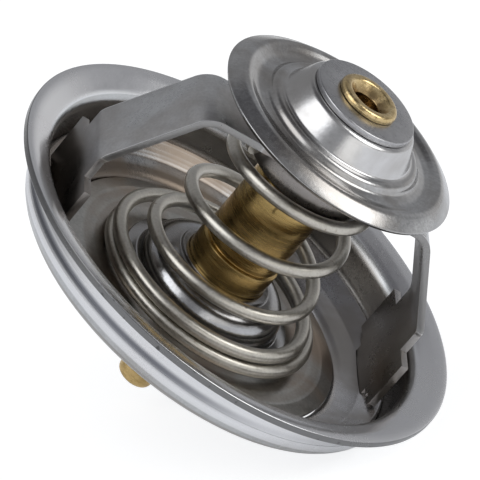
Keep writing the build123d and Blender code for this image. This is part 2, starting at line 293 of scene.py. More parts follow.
def paintStrapLight(tree, place, base, marks, wearAndLight):
    # brownish painted shade low on both feet and round the cup, a painted highlight along the broken edge and
    # painted shade on the cut face
    x, y, z = splitPlace(tree, place)
    aside, across = mathNode(tree, "ABSOLUTE", x), mathNode(tree, "ABSOLUTE", y)
    lowDown = rangeNode(tree, z, *wearAndLight["footHeight"], 1.0, 0.0)
    feet = product(tree, rangeNode(tree, aside, *wearAndLight["foot"]), lowDown)
    cup = rangeNode(tree, reachFromAxis(tree, place), *wearAndLight["cup"], 1.0, 0.0)
    # painted shade: the feet and the cup get a dark brownish tone
    shadeOnFeetAndCup = product(tree, mathNode(tree, "MAXIMUM", feet, cup), wearAndLight["footShadeShare"])
    base = mixColours(tree, shadeOnFeetAndCup, base, wearAndLight["footShadeTone"])
    band = product(tree, rangeNode(tree, aside, *wearAndLight["pastCup"]), rangeNode(tree, z, *wearAndLight["aboveFoot"]))
    # painted highlight: a bright line along the broken edge of the strap
    arrisHighlight = product(tree, band, rangeNode(tree, across, *wearAndLight["arrisHighlight"]))
    base = mixColours(tree, arrisHighlight, base, wearAndLight["arrisHighlightTone"])
    # painted shade: the cut face of the strap is darkened
    cutFaceShade = product(tree, band, rangeNode(tree, across, *wearAndLight["cutFaceShade"], 0.0, wearAndLight["cutFaceShadeShare"]))
    return mixColours(tree, cutFaceShade, base, wearAndLight["cutFaceShadeTone"])


ringLitSide = {
    "toward": (0.8, -0.6), "side": (-0.004, 0.014), "share": 0.8, "lighterTone": (0.66, 0.66, 0.68),
    "dull": (0.46, 0.44, 0.42),
}


def lightRingSide(tree, place, base, marks, wearAndLight):
    # painted light: the ring is lighter on its side towards +X and -Y
    here = splitPlace(tree, place)
    along, across = wearAndLight["toward"]
    sideways = mathNode(tree, "MULTIPLY_ADD", here["X"], along, product(tree, here["Y"], across))
    share = product(tree, rangeNode(tree, sideways, *wearAndLight["side"]), wearAndLight["share"])
    return mixColours(tree, share, base, mixColours(tree, marks["Patches"], wearAndLight["lighterTone"], wearAndLight["dull"]))


discWear = {"hub": (0.0095, 0.0110), "share": 0.65, "lighterTone": (0.74, 0.74, 0.75), "dull": (0.50, 0.49, 0.48)}


def wearDisc(tree, place, base, marks, wearAndLight):
    # the hub is brighter than the rest
    share = rangeNode(tree, reachFromAxis(tree, place), *wearAndLight["hub"], wearAndLight["share"], 0.0)
    return mixColours(tree, share, base, mixColours(tree, marks["Patches"], wearAndLight["lighterTone"], wearAndLight["dull"]))


dishLightAndCutEdgeSetup = {
    "outside": (0.02915, 0.02930), "outsideLightShare": 0.75, "outsideLightTone": (0.80, 0.80, 0.815),
    "inside": (0.02860, 0.02885), "insideShadeShare": 0.75, "insideShadeTone": (0.2592, 0.2376, 0.216),
    "lineLevel": -0.0049, "line": (0.0001, 0.0009), "grooveShadeShare": 0.88, "grooveShadeTone": (0.10, 0.105, 0.125),
    "grooveShadeFade": (-0.012, 0.010), "grooveShadeLeast": 0.15, "cutEdge": (0.03338, 0.03347), "cutShare": 0.93,
    "cutTone": (0.15, 0.15, 0.15), "cutPit": (0.05, 0.05, 0.05),
}


def dishLightAndCutEdge(tree, place, base, marks, wearAndLight):
    # painted light on the outside, a painted shade line in the groove that fades towards +X, brownish painted
    # shade on the inside, and a dark cut edge
    reach = reachFromAxis(tree, place)
    here = splitPlace(tree, place)
    # painted light: the outside of the dish is lighter
    outside = rangeNode(tree, reach, *wearAndLight["outside"])
    base = mixColours(tree, product(tree, outside, wearAndLight["outsideLightShare"]), base, wearAndLight["outsideLightTone"])
    # painted shade: the inside of the dish is darker and brownish
    inside = rangeNode(tree, reach, *wearAndLight["inside"], 1.0, 0.0)
    base = mixColours(tree, product(tree, inside, wearAndLight["insideShadeShare"]), base, wearAndLight["insideShadeTone"])
    # painted shade: a dark line in the groove round the outside, fading towards +X
    fromLine = mathNode(tree, "ABSOLUTE", mathNode(tree, "SUBTRACT", here["Z"], wearAndLight["lineLevel"]))
    fadedShade = product(tree, outside, rangeNode(tree, here["X"], *wearAndLight["grooveShadeFade"], 1.0, wearAndLight["grooveShadeLeast"]))
    line = product(tree, fadedShade, rangeNode(tree, fromLine, *wearAndLight["line"], wearAndLight["grooveShadeShare"], 0.0))
    base = mixColours(tree, line, base, wearAndLight["grooveShadeTone"])
    cut = product(tree, rangeNode(tree, reach, *wearAndLight["cutEdge"]), wearAndLight["cutShare"])
    return mixColours(tree, cut, base, mixColours(tree, marks["Specks"], wearAndLight["cutTone"], wearAndLight["cutPit"]))


# finishes with marks of their own in some places, some of them painted light and shade
wearAndLightOf = {
    "strapSteel": (paintStrapLight, strapPaintedLight), "ringSteel": (lightRingSide, ringLitSide),
    "polishedSteel": (wearDisc, discWear), "dishSteel": (dishLightAndCutEdge, dishLightAndCutEdgeSetup),
}

steelSetup = {
    "coarser": 5.0, "patchSize": 85.0, "streak": (0.44, 0.58), "streakShade": 0.6, "patchGloss": 0.5,
    "grainGloss": 0.5, "lineSize": 1500.0, "bumpDepth": 0.0004,
}


def steelFinish(name):
    look, setup = sheetFinishes[name], steelSetup
    material, tree, shader, place = startMaterial(name)
    fineSize = look["grainSize"]
    grain = groupNode(tree, sheetGrain, place, {"Size": fineSize, "Coarse Size": fineSize / setup["coarser"]})
    marks = groupNode(tree, blotches, place, {"Size": setup["patchSize"]})
    base = mixColours(tree, grain["Mask"], look["dark"], look["light"])
    base = mixColours(tree, product(tree, marks["Patches"], look["tarnishShare"]), base, look["tarnish"])
    if look["streaks"]:
        bands = groupNode(tree, turnedLines, place, {"Lines": look["streakSize"]})
        streak = product(tree, rangeNode(tree, bands["Height"], *setup["streak"]), look["streaks"])
        base = mixColours(tree, streak, base, shaded(look["tarnish"], setup["streakShade"]))
    if name in wearAndLightOf:
        addWearAndLight, wearAndLight = wearAndLightOf[name]
        base = addWearAndLight(tree, place, base, marks, wearAndLight)
    tree.links.new(base, shader["Base Color"])
    shader["Metallic"].default_value = 1.0
    dull = product(tree, grain["Mask"], setup["grainGloss"])
    dull = mathNode(tree, "MULTIPLY_ADD", marks["Patches"], setup["patchGloss"], dull)
    tree.links.new(rangeNode(tree, dull, 0.0, 1.0, *look["gloss"], smooth=False), shader["Roughness"])
    height = grain["Height"]
    if look["lines"]:
        rings = groupNode(tree, turnedLines, place, {"Lines": setup["lineSize"]})
        height = mathNode(tree, "MULTIPLY_ADD", rings["Height"], look["lines"], height)
    bumpFrom(tree, shader, height, look["bump"], setup["bumpDepth"])
    return material


brassFinishes = {
    "caseBrass": {
        "light": (0.53, 0.375, 0.15), "dark": (0.42, 0.285, 0.105), "stain": (0.25, 0.155, 0.055),
        "gloss": (0.22, 0.32), "stretch": (0.05, 0.05, 1.0), "speckShare": 0.24, "bump": 0.04,
    },
    "rivetBrass": {
        "light": (0.72, 0.56, 0.30), "dark": (0.52, 0.38, 0.18), "stain": (0.26, 0.18, 0.09),
        "gloss": (0.16, 0.28), "stretch": (1.0, 1.0, 1.0), "speckShare": 0.30, "bump": 0.14,
    },
    "seatBrass": {
        "light": (0.66, 0.48, 0.22), "dark": (0.48, 0.34, 0.14), "stain": (0.24, 0.16, 0.07),
        "gloss": (0.20, 0.34), "stretch": (0.3, 0.3, 1.0), "speckShare": 0.24, "bump": 0.04,
    },
}
brassSetup = {
    "streaks": (1500.0, 5.0, 0.65), "tone": (0.32, 0.66), "gloss": (0.3, 0.7), "patchSize": 150.0,
    "speckSize": 1200.0, "patchStain": 0.28, "speckStain": 0.4, "bumpDepth": 0.0003,
}
rivetMouthShade = {"mouth": (0.0021, 0.0030), "share": 0.85}
punchSetup = {
    "place": (-0.00135, -0.00543, 0.01045), "open": (-0.449, 0.586, 0.674), "radius": 0.00095,
    "width": 0.00016, "core": 0.5, "fade": 1.6, "share": 0.8, "opening": (-0.0001, 0.0003), "shade": 0.45,
}


def paintedPunchShade(tree, place, setup):
    # painted shade for a shallow half-round punch mark near the top of the case
    offset = vectorNode(tree, "SUBTRACT", place, setup["place"])[0]
    reach = vectorNode(tree, "LENGTH", offset)["Value"]
    fromRing = mathNode(tree, "ABSOLUTE", mathNode(tree, "SUBTRACT", reach, setup["radius"]))
    core, fade = setup["core"] * setup["width"], setup["fade"] * setup["width"]
    side = vectorNode(tree, "DOT_PRODUCT", offset, setup["open"])["Value"]
    ring = rangeNode(tree, fromRing, core, fade, setup["share"], 0.0)
    return product(tree, ring, rangeNode(tree, side, *setup["opening"]))


def brassFinish(name):
    look, setup = brassFinishes[name], brassSetup
    material, tree, shader, place = startMaterial(name)
    streaks = noiseNode(tree, stretched(tree, place, look["stretch"]), *setup["streaks"])
    sizes = {"Size": setup["patchSize"], "Speck Size": setup["speckSize"], "Speck Share": look["speckShare"]}
    marks = groupNode(tree, blotches, place, sizes)
    base = mixColours(tree, rangeNode(tree, streaks, *setup["tone"]), look["dark"], look["light"])
    stain = product(tree, marks["Specks"], setup["speckStain"])
    stain = mathNode(tree, "MULTIPLY_ADD", marks["Patches"], setup["patchStain"], stain, clamp=True)
    base = mixColours(tree, stain, base, look["stain"])
    if name == "rivetBrass":
        # painted shade in the mouth of the rivet's hole
        reach = reachFromAxis(tree, place)
        mouth = rangeNode(tree, reach, *rivetMouthShade["mouth"], rivetMouthShade["share"], 0.0)
        base = mixColours(tree, mouth, base, look["stain"])
    if name == "caseBrass":
        # painted shade of the punch mark
        punchShade = paintedPunchShade(tree, place, punchSetup)
        base = mixColours(tree, punchShade, base, shaded(look["stain"], punchSetup["shade"]))
    tree.links.new(base, shader["Base Color"])
    shader["Metallic"].default_value = 1.0
    tree.links.new(rangeNode(tree, streaks, *setup["gloss"], *look["gloss"]), shader["Roughness"])
    bumpFrom(tree, shader, streaks, look["bump"], setup["bumpDepth"])
    return material


wireLook = {
    "light": (0.58, 0.555, 0.50), "dark": (0.46, 0.435, 0.385), "rust": (0.27, 0.205, 0.145),
    "rustMetal": 0.5, "gloss": (0.28, 0.40), "bump": 0.036, "bumpDepth": 0.0004,
    "grain": {"Size": 2600.0, "Coarse Size": 500.0},
    "marks": {"Size": 260.0, "Speck Size": 1300.0, "Speck Share": 0.26},
}


def wireFinish(name, look):
    material, tree, shader, place = startMaterial(name)
    grain = groupNode(tree, sheetGrain, place, look["grain"])
    marks = groupNode(tree, blotches, place, look["marks"])
    share = product(tree, marks["Specks"], marks["Patches"])
    base = mixColours(tree, share, mixColours(tree, grain["Mask"], look["dark"], look["light"]), look["rust"])
    tree.links.new(base, shader["Base Color"])
    tree.links.new(rangeNode(tree, share, 0.0, 1.0, 1.0, look["rustMetal"], smooth=False), shader["Metallic"])
    tree.links.new(rangeNode(tree, grain["Mask"], 0.0, 1.0, *look["gloss"]), shader["Roughness"])
    bumpFrom(tree, shader, grain["Height"], look["bump"], look["bumpDepth"])
    return material


softFinishes = {
    "bootRubber": {"light": (0.035, 0.035, 0.035), "dark": (0.018, 0.018, 0.018), "gloss": (0.55, 0.75)},
    "backupPlastic": {"light": (0.80, 0.78, 0.72), "dark": (0.68, 0.66, 0.60), "gloss": (0.35, 0.5)},
    "waxBlock": {"light": (0.50, 0.32, 0.16), "dark": (0.34, 0.20, 0.10), "gloss": (0.4, 0.6)},
}
softSetup = {
    "grain": {"Size": 1800.0, "Coarse Size": 260.0},
    "bump": 0.3, "bumpDepth": 0.0004,
}


def softFinish(name):
    look, setup = softFinishes[name], softSetup
    material, tree, shader, place = startMaterial(name)
    grain = groupNode(tree, sheetGrain, place, setup["grain"])
    tree.links.new(mixColours(tree, grain["Mask"], look["dark"], look["light"]), shader["Base Color"])
    tree.links.new(rangeNode(tree, grain["Mask"], 0.0, 1.0, *look["gloss"]), shader["Roughness"])
    bumpFrom(tree, shader, grain["Height"], setup["bump"], setup["bumpDepth"])
    return material


finishes = {name: steelFinish(name) for name in sheetFinishes}
finishes.update({name: brassFinish(name) for name in brassFinishes})
finishes.update({name: softFinish(name) for name in softFinishes})
finishes["springWire"] = wireFinish("springWire", wireLook)
print("finishes built,", len(finishes))


# turned and pressed forms; lengths in millimetres

formSetup = {
    "bendSteps": 10, "edgeSteps": 4, "nearStraight": 1e-3, "onAxis": 1e-6, "merged": 1e-7,
    "smoothBelow": 32.0,
}


def roundedPath(points, bends, steps, closed=False):
    # corners of a polyline turned into arcs, one radius per inner corner, or per corner when it is closed
    count = len(points)
    radii = bends if closed else [0.0, *bends, 0.0]
    result = []
    for index, corner in enumerate(points):
        here = Vector(corner)
        if radii[index] <= 0:
            result.append(here)
            continue
        before = Vector(points[index - 1]) - here
        after = Vector(points[(index + 1) % count]) - here
        angle = before.angle(after)
        if angle > math.pi - formSetup["nearStraight"]:
            result.append(here)
            continue
        reach = radii[index] / math.tan(angle / 2)
        start = here + before.normalized() * reach
        end = here + after.normalized() * reach
        inward = (before.normalized() + after.normalized()).normalized()
        middle = here + inward * (radii[index] / math.sin(angle / 2))
        first, last = start - middle, end - middle
        sweep = first.angle(last)
        side = 1 if first.x * last.y - first.y * last.x > 0 else -1
        for step in range(steps + 1):
            turn = side * sweep * step / steps
            c, s = math.cos(turn), math.sin(turn)
            result.append(middle + Vector((first.x * c - first.y * s, first.x * s + first.y * c)))
    return result


def sheetSection(points, shape):
    # both faces of a bent sheet and its rounded cut edges; side 1 puts the second face left of the path
    path = roundedPath(points, shape["bends"], formSetup["bendSteps"])
    other = []
    for index, point in enumerate(path):
        back = path[max(index - 1, 0)]
        ahead = path[min(index + 1, len(path) - 1)]
        along = (ahead - back).normalized()
        other.append(point + Vector((-along.y, along.x)) * shape["sheet"] * shape["side"])
    outline = path + other[::-1]
    cutCorners = (0, len(path) - 1, len(path), len(outline) - 1)
    radii = [shape["edge"] if index in cutCorners else 0.0 for index in range(len(outline))]
    return roundedPath(outline, radii, formSetup["edgeSteps"], closed=True)


def outwardMesh(mesh):
    solid = bmesh.new()
    solid.from_mesh(mesh)
    bmesh.ops.remove_doubles(solid, verts=solid.verts, dist=formSetup["merged"])
    bmesh.ops.recalc_face_normals(solid, faces=solid.faces)
    solid.to_mesh(mesh)
    solid.free()
    return mesh


def turnedMesh(name, section, segments):
    # section is closed and holds distances from the axis and heights
    vertices, rows = [], []
    for reach, level in section:
        if reach < formSetup["onAxis"]:
            rows.append([len(vertices)] * segments)
            vertices.append((0.0, 0.0, level * mm))
            continue
        rows.append(list(range(len(vertices), len(vertices) + segments)))
        for step in range(segments):
            turn = 2 * math.pi * step / segments
            vertices.append((reach * mm * math.cos(turn), reach * mm * math.sin(turn), level * mm))
    faces = []
    for index, row in enumerate(rows):
        ahead = rows[(index + 1) % len(rows)]
        for step in range(segments):
            nextStep = (step + 1) % segments
            corners = list(dict.fromkeys((row[step], row[nextStep], ahead[nextStep], ahead[step])))
            if len(corners) > 2:
                faces.append(corners)
    mesh = bpy.data.meshes.new(name)
    mesh.from_pydata(vertices, [], faces)
    return outwardMesh(mesh)


def pressedMesh(name, points, shape):
    return turnedMesh(name, sheetSection(points, shape), shape["segments"])


def solidMesh(name, points, shape):
    section = roundedPath(points, shape["roundings"], shape["steps"], closed=True)
    return turnedMesh(name, section, shape["segments"])


def addObject(name, mesh):
    added = bpy.data.objects.new(name, mesh)
    scene.collection.objects.link(added)
    return added


def bakedMesh(carrier):
    # the carrier's modifiers become a plain mesh, and the carrier goes
    graph = bpy.context.evaluated_depsgraph_get()
    graph.update()
    mesh = bpy.data.meshes.new_from_object(carrier.evaluated_get(graph))
    carrier.modifiers.clear()
    bpy.data.objects.remove(carrier)
    return mesh


def placePiece(name, mesh, finish, body, node, angle=formSetup["smoothBelow"]):
    mesh.shade_smooth()
    mesh.set_sharp_from_angle(angle=math.radians(angle))
    mesh.materials.clear()
    mesh.materials.append(finishes[finish])
    piece = addObject(name, mesh)
    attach(piece, body)
    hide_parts(node)
    return piece


dishShape = {
    "lipRadius": 33.5, "flatRadius": 32.2, "lipDrop": 1.4, "wallRadius": 28.5, "depth": 8.3, "sheet": 1.0,
    "edgeBend": 5.0, "lipBend": 2.4, "floorBend": 3.0, "openingRadius": 26.4, "floorEnd": 24.5,
    "grooveLevel": -4.9, "grooveHalf": 0.80, "grooveDepth": 0.05, "upperEdge": 0.18, "underEdge": 0.14,
    "floorEdge": 0.05, "grooveShoulder": 0.35, "grooveFoot": 0.5, "steps": 10, "segments": 256,
}


def cutInside(section, radius):
    # removes the part of a closed section that lies nearer to the axis than radius
    result = []
    for index, point in enumerate(section):
        ahead = section[(index + 1) % len(section)]
        if point[0] >= radius:
            result.append(point)
        if (point[0] - radius) * (ahead[0] - radius) < 0:
            share = (radius - point[0]) / (ahead[0] - point[0])
            result.append(point + (ahead - point) * share)
    return result


def makeDish(shape):
    # both faces of the sheet, with a shallow rolled groove round the outside of the wall
    sheet, inner, outer = shape["sheet"], shape["wallRadius"], shape["wallRadius"] + shape["sheet"]
    lip, flat, foot = shape["lipRadius"], shape["flatRadius"], -shape["depth"]
    dip = math.atan2(shape["lipDrop"], flat - inner)
    underFlat = flat + sheet * math.tan(dip / 2)
    underDrop = -sheet - (underFlat - outer) * math.tan(dip)
    half, level, shoulder = shape["grooveHalf"], shape["grooveLevel"], shape["grooveShoulder"]
    corners = [
        ((lip, 0.0), shape["upperEdge"]),
        ((flat, 0.0), shape["edgeBend"]),
        ((inner, -shape["lipDrop"]), shape["lipBend"]),
        ((inner, foot), shape["floorBend"]),
        ((shape["floorEnd"], foot), shape["floorEdge"]),
        ((shape["floorEnd"], foot - sheet), shape["floorEdge"]),
        ((outer, foot - sheet), shape["floorBend"] + sheet),
        ((outer, level - half), shoulder),
        ((outer - shape["grooveDepth"], level), shape["grooveFoot"]),
        ((outer, level + half), shoulder),
        ((outer, underDrop), shape["lipBend"] - sheet),
        ((underFlat, -sheet), shape["edgeBend"] - sheet),
        ((lip, -sheet), shape["underEdge"]),
    ]
    points, roundings = zip(*corners)
    section = roundedPath(points, roundings, shape["steps"], closed=True)
    return turnedMesh("dish", cutInside(section, shape["openingRadius"]), shape["segments"])


placePiece("Dish", makeDish(dishShape), "dishSteel", "frame", "flange_dish")

ringShape = {
    "rimRadius": 27.5, "rimLevel": -6.1, "bandRadius": 24.9, "bandLevel": -7.9, "throatRadius": 21.15,
    "throatLevel": -9.1, "throatLength": 1.9, "sheet": 0.9, "side": 1, "bends": [1.2, 2.2], "edge": 0.16,
    "segments": 256, "slotLength": 9.72, "slotWidth": 1.12, "slotHeight": 6.0, "slotReach": 25.1,
}
ringPoints = [
    (ringShape["rimRadius"], ringShape["rimLevel"]),
    (ringShape["bandRadius"], ringShape["bandLevel"]),
    (ringShape["throatRadius"], ringShape["throatLevel"]),
    (ringShape["throatRadius"], ringShape["throatLevel"] - ringShape["throatLength"]),
]


def slotCutter(shape):
    # two boxes where the bridge's tabs pass through
    solid = bmesh.new()
    size = (shape["slotWidth"] * mm, shape["slotLength"] * mm, shape["slotHeight"] * mm)
    for side in (-1, 1):
        middle = (side * shape["slotReach"] * mm, 0.0, shape["bandLevel"] * mm)
        box = bmesh.ops.create_cube(solid, size=1.0)["verts"]
        bmesh.ops.scale(solid, verts=box, vec=size)
        bmesh.ops.translate(solid, verts=box, vec=middle)
    mesh = bpy.data.meshes.new("slotCutter")
    solid.to_mesh(mesh)
    solid.free()
    return addObject("slotCutter", mesh)


def cutSlots(mesh, shape):
    carrier = addObject("uncutRing", mesh)
    cutter = slotCutter(shape)
    cut = carrier.modifiers.new("slots", "BOOLEAN")
    cut.object = cutter
    cut.operation = "DIFFERENCE"
    cut.solver = "EXACT"
    cutMesh = bakedMesh(carrier)
    bpy.data.objects.remove(cutter)
    return cutMesh


ringMesh = cutSlots(pressedMesh("valveRing", ringPoints, ringShape), ringShape)
placePiece("ValveRing", ringMesh, "ringSteel", "frame", "seat_ring")

plateShape = {
    "holeRadius": 6.1, "flatRadius": 19.3, "radius": 21.3, "top": -8.75, "drop": 0.35, "sheet": 0.8,
    "side": -1, "bends": [1.0], "edge": 0.14, "segments": 224,
}
platePoints = [
    (plateShape["holeRadius"], plateShape["top"]),
    (plateShape["flatRadius"], plateShape["top"]),
    (plateShape["radius"], plateShape["top"] - plateShape["drop"]),
]
plateMesh = pressedMesh("valvePlate", platePoints, plateShape)
placePiece("ValvePlate", plateMesh, "plateSteel", "valve", "valve_plate")

capShape = {
    "flangeRadius": 12.8, "radius": 10.9, "top": -3.8, "foot": -7.85, "holeRadius": 5.95,
    "collarHeight": 0.6, "sheet": 0.9, "side": 1, "bends": [0.5, 3.4, 0.3], "edge": 0.12, "segments": 192,
}
capPoints = [
    (capShape["flangeRadius"], capShape["foot"]),
    (capShape["radius"], capShape["foot"]),
    (capShape["radius"], capShape["top"]),
    (capShape["holeRadius"] + capShape["sheet"], capShape["top"]),
    (capShape["holeRadius"] + capShape["sheet"], capShape["top"] + capShape["collarHeight"]),
]
placePiece("GuideCap", pressedMesh("guideCap", capPoints, capShape), "capSteel", "valve", "guide_cap")

caseShape = {
    "radius": 5.6, "footRadius": 5.9, "step": 0.2, "grooveWidth": 0.5, "grooveDepth": 0.35, "top": 13.0,
    "flangeRadius": 8.4, "flangeLow": -8.75, "flangeHigh": -7.15, "boreRadius": 4.4, "cavityTop": 10.6,
    "socketRadius": 2.2, "roundings": [0.08, 0.15, 0.15, 0.2, 0.12, 0.1, 0.12, 0.6, 0.08, 0.08, 0.2],
    "steps": 5, "segments": 160,
}
casePoints = [
    (caseShape["boreRadius"], caseShape["flangeLow"]),
    (caseShape["flangeRadius"], caseShape["flangeLow"]),
    (caseShape["flangeRadius"], caseShape["flangeHigh"]),
    (caseShape["footRadius"], caseShape["flangeHigh"]),
    (caseShape["footRadius"], caseShape["step"]),
    (caseShape["radius"] - caseShape["grooveDepth"], caseShape["step"] + caseShape["grooveWidth"] / 2),
    (caseShape["radius"], caseShape["step"] + caseShape["grooveWidth"]),
    (caseShape["radius"], caseShape["top"]),
    (caseShape["socketRadius"], caseShape["top"]),
    (caseShape["socketRadius"], caseShape["cavityTop"]),
    (caseShape["boreRadius"], caseShape["cavityTop"]),
]
caseMesh = solidMesh("elementCase", casePoints, caseShape)
placePiece("ElementCase", caseMesh, "caseBrass", "valve", "element_case")

discShape = {
    "radius": 17.6, "edgeLevel": 22.1, "crest": (15.3, 23.5), "valley": (13.5, 22.65),
    "foot": (11.7, 22.85), "step": (11.2, 23.9), "hubBase": 9.9, "hubTopRadius": 8.1, "hubTop": 27.3,
    "boreRadius": 3.55, "sheet": 0.7, "side": 1, "bends": [1.5, 2.5, 0.9, 1.0, 0.6, 1.0], "edge": 0.12,
    "segments": 256,
}
discPoints = [
    (discShape["radius"], discShape["edgeLevel"]),
    discShape["crest"],
    discShape["valley"],
    discShape["foot"],
    discShape["step"],
    (discShape["hubBase"], discShape["step"][1]),
    (discShape["hubTopRadius"], discShape["hubTop"]),
    (discShape["boreRadius"], discShape["hubTop"]),
]
discMesh = pressedMesh("bypassDisc", discPoints, discShape)
placePiece("BypassDisc", discMesh, "polishedSteel", "bypass", "bypass_disc")

washerShape = {
    "inner": 2.62, "outer": 7.5, "low": 27.35, "high": 28.18, "roundings": [0.05, 0.12, 0.22, 0.05],
    "steps": 4, "segments": 160,
}
washerPoints = [
    (washerShape["inner"], washerShape["low"]),
    (washerShape["outer"], washerShape["low"]),
    (washerShape["outer"], washerShape["high"]),
    (washerShape["inner"], washerShape["high"]),
]
washerMesh = solidMesh("endWasher", washerPoints, washerShape)
placePiece("EndWasher", washerMesh, "washerSteel", "valve", "end_washer")

stemShape = {
    "socketRadius": 2.18, "cavityTop": 10.6, "caseTop": 13.0, "collarRadius": 3.4, "collarTop": 14.0,
    "radius": 2.6, "rivetLow": 28.2, "rivetTop": 29.15, "rivetRadius": 4.3, "mouthRadius": 3.1,
    "flareDepth": 1.3, "holeRadius": 1.9, "holeDepth": 3.2,
    "roundings": [0.0, 0.1, 0.05, 0.1, 0.1, 0.1, 0.05, 0.15, 0.62, 0.5, 0.4, 0.3, 0.0], "steps": 6,
    "segments": 128,
}
stemPoints = [
    (0.0, stemShape["cavityTop"]),
    (stemShape["socketRadius"], stemShape["cavityTop"]),
    (stemShape["socketRadius"], stemShape["caseTop"]),
    (stemShape["collarRadius"], stemShape["caseTop"]),
    (stemShape["collarRadius"], stemShape["collarTop"]),
    (stemShape["radius"], stemShape["collarTop"]),
    (stemShape["radius"], stemShape["rivetLow"]),
    (stemShape["rivetRadius"], stemShape["rivetLow"]),
    (stemShape["rivetRadius"], stemShape["rivetTop"]),
    (stemShape["mouthRadius"], stemShape["rivetTop"]),
    (stemShape["holeRadius"], stemShape["rivetTop"] - stemShape["flareDepth"]),
    (stemShape["holeRadius"], stemShape["rivetTop"] - stemShape["holeDepth"]),
    (0.0, stemShape["rivetTop"] - stemShape["holeDepth"] - stemShape["holeRadius"] / 2),
]
placePiece("BypassStem", solidMesh("bypassStem", stemPoints, stemShape), "rivetBrass", "valve", "bypass_stem")

socketShape = {
    "tip": -25.0, "radius": 2.55, "shoulder": -19.1, "neckRadius": 1.9, "crown": -18.1, "collarRadius": 3.0,
    "collarTop": -17.1, "bore": 1.52, "boreEnd": -22.5,
    "roundings": [0.0, 0.9, 0.08, 0.05, 0.05, 0.1, 0.2, 0.1, 0.05, 0.0], "steps": 6, "segments": 128,
}
socketPoints = [
    (0.0, socketShape["tip"]),
    (socketShape["radius"], socketShape["tip"]),
    (socketShape["radius"], socketShape["shoulder"]),
    (socketShape["neckRadius"], socketShape["shoulder"]),
    (socketShape["neckRadius"], socketShape["crown"]),
    (socketShape["collarRadius"], socketShape["crown"]),
    (socketShape["collarRadius"], socketShape["collarTop"]),
    (socketShape["bore"], socketShape["collarTop"]),
    (socketShape["bore"], socketShape["boreEnd"]),
    (0.0, socketShape["boreEnd"]),
]
placePiece("PinSocket", solidMesh("pinSocket", socketPoints, socketShape), "seatBrass", "frame", "pin_seat")
print("turned and pressed pieces placed")


# straps

strapSetup = {"merged": 2e-6, "flatBelow": 0.5, "bevelSegments": 2, "sharpAbove": 34.0}
strapShapes = {
    "UpperBridge": {"node": "upper_bridge", "edge": 0.13},
    "LowerBridge": {"node": "lower_bridge", "edge": 0.10},
}


def strapMesh(shape, setup):
    # a merged copy of the solid with softly broken edges
    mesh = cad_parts[shape["node"]].data.copy()
    solid = bmesh.new()
    solid.from_mesh(mesh)
    bmesh.ops.remove_doubles(solid, verts=solid.verts, dist=setup["merged"])
    flat = math.radians(setup["flatBelow"])
    bmesh.ops.dissolve_limit(solid, angle_limit=flat, verts=solid.verts, edges=solid.edges)
    solid.to_mesh(mesh)
    solid.free()
    carrier = addObject("unbrokenStrap", mesh)
    bevel = carrier.modifiers.new("brokenEdges", "BEVEL")
    bevel.width = shape["edge"] * mm
    bevel.segments = setup["bevelSegments"]
    bevel.limit_method = "ANGLE"
    bevel.angle_limit = math.radians(setup["sharpAbove"])
    bevel.harden_normals = False
    return bakedMesh(carrier)


for strapName, strapShape in strapShapes.items():
    strap = strapMesh(strapShape, strapSetup)
    placePiece(strapName, strap, "strapSteel", "frame", strapShape["node"], strapSetup["sharpAbove"])
print("straps placed")


# springs, from a node tree that winds a wire; lengths in metres, angles in radians

mainSpring = {
    "inputs": {
        "Base Radius": 0.0152, "Waist Radius": 0.0120, "Top Radius": 0.0098, "Low": -0.00777,
        "High": 0.01602, "Turns": 5.14, "First Angle": math.radians(150.0), "Closed Pitch": 0.00194,
        "Base Turns": 1.2, "Waist Turn": 1.85, "Taper End": 4.25, "Open From": 1.2, "Fully Open From": 3.0,
        "Closing From": 4.1, "Closed From": 4.45, "Wire Radius": 0.00096, "Points": 620, "Wire Sides": 28,
    },
    "anchor": 0.017, "keep": 0.69,
}


def addNode(tree, kind, links, result=0):
    # a node whose inputs are linked, by name or by number
    node = tree.nodes.new(kind)
    for label, value in links.items():
        tree.links.new(value, node.inputs[label])
    return node.outputs[result]


